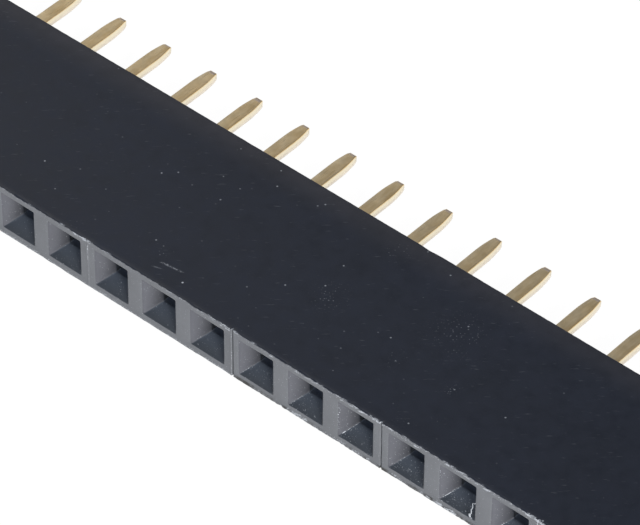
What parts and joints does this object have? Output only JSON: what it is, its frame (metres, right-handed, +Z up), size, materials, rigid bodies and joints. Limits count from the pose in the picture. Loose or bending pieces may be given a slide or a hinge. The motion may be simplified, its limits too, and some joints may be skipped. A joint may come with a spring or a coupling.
{
  "type": "female pin header strip",
  "caption": "Single-row female pin header strip: black moulded bar with square funnel sockets and flat gold-plated solder tails.",
  "frame": {"origin": "on the resting plane, below the middle of the whole outline, tails included", "axes": "+X along the row of sockets, +Y the way the solder tails point, +Z up from the broad side that it lies on"},
  "size_m": [0.1016, 0.0117, 0.0025],
  "materials": {
    "black_pbt": "fine satin as moulded, with specks and light scratches",
    "gold_plated_contact": "pale flash gold plating over stamped phosphor bronze"
  },
  "bodies": {
    "root": {"housing": "black_pbt", "contact_01": "gold_plated_contact", "contact_02": "gold_plated_contact", "contact_03": "gold_plated_contact", "contact_04": "gold_plated_contact", "contact_05": "gold_plated_contact", "contact_06": "gold_plated_contact", "contact_07": "gold_plated_contact", "contact_08": "gold_plated_contact", "contact_09": "gold_plated_contact", "contact_10": "gold_plated_contact", "contact_11": "gold_plated_contact", "contact_12": "gold_plated_contact", "contact_13": "gold_plated_contact", "contact_14": "gold_plated_contact", "contact_15": "gold_plated_contact", "contact_16": "gold_plated_contact", "contact_17": "gold_plated_contact", "contact_18": "gold_plated_contact", "contact_19": "gold_plated_contact", "contact_20": "gold_plated_contact", "contact_21": "gold_plated_contact", "contact_22": "gold_plated_contact", "contact_23": "gold_plated_contact", "contact_24": "gold_plated_contact", "contact_25": "gold_plated_contact", "contact_26": "gold_plated_contact", "contact_27": "gold_plated_contact", "contact_28": "gold_plated_contact", "contact_29": "gold_plated_contact", "contact_30": "gold_plated_contact", "contact_31": "gold_plated_contact", "contact_32": "gold_plated_contact", "contact_33": "gold_plated_contact", "contact_34": "gold_plated_contact", "contact_35": "gold_plated_contact", "contact_36": "gold_plated_contact", "contact_37": "gold_plated_contact", "contact_38": "gold_plated_contact", "contact_39": "gold_plated_contact", "contact_40": "gold_plated_contact"}
  },
  "joints": []
}
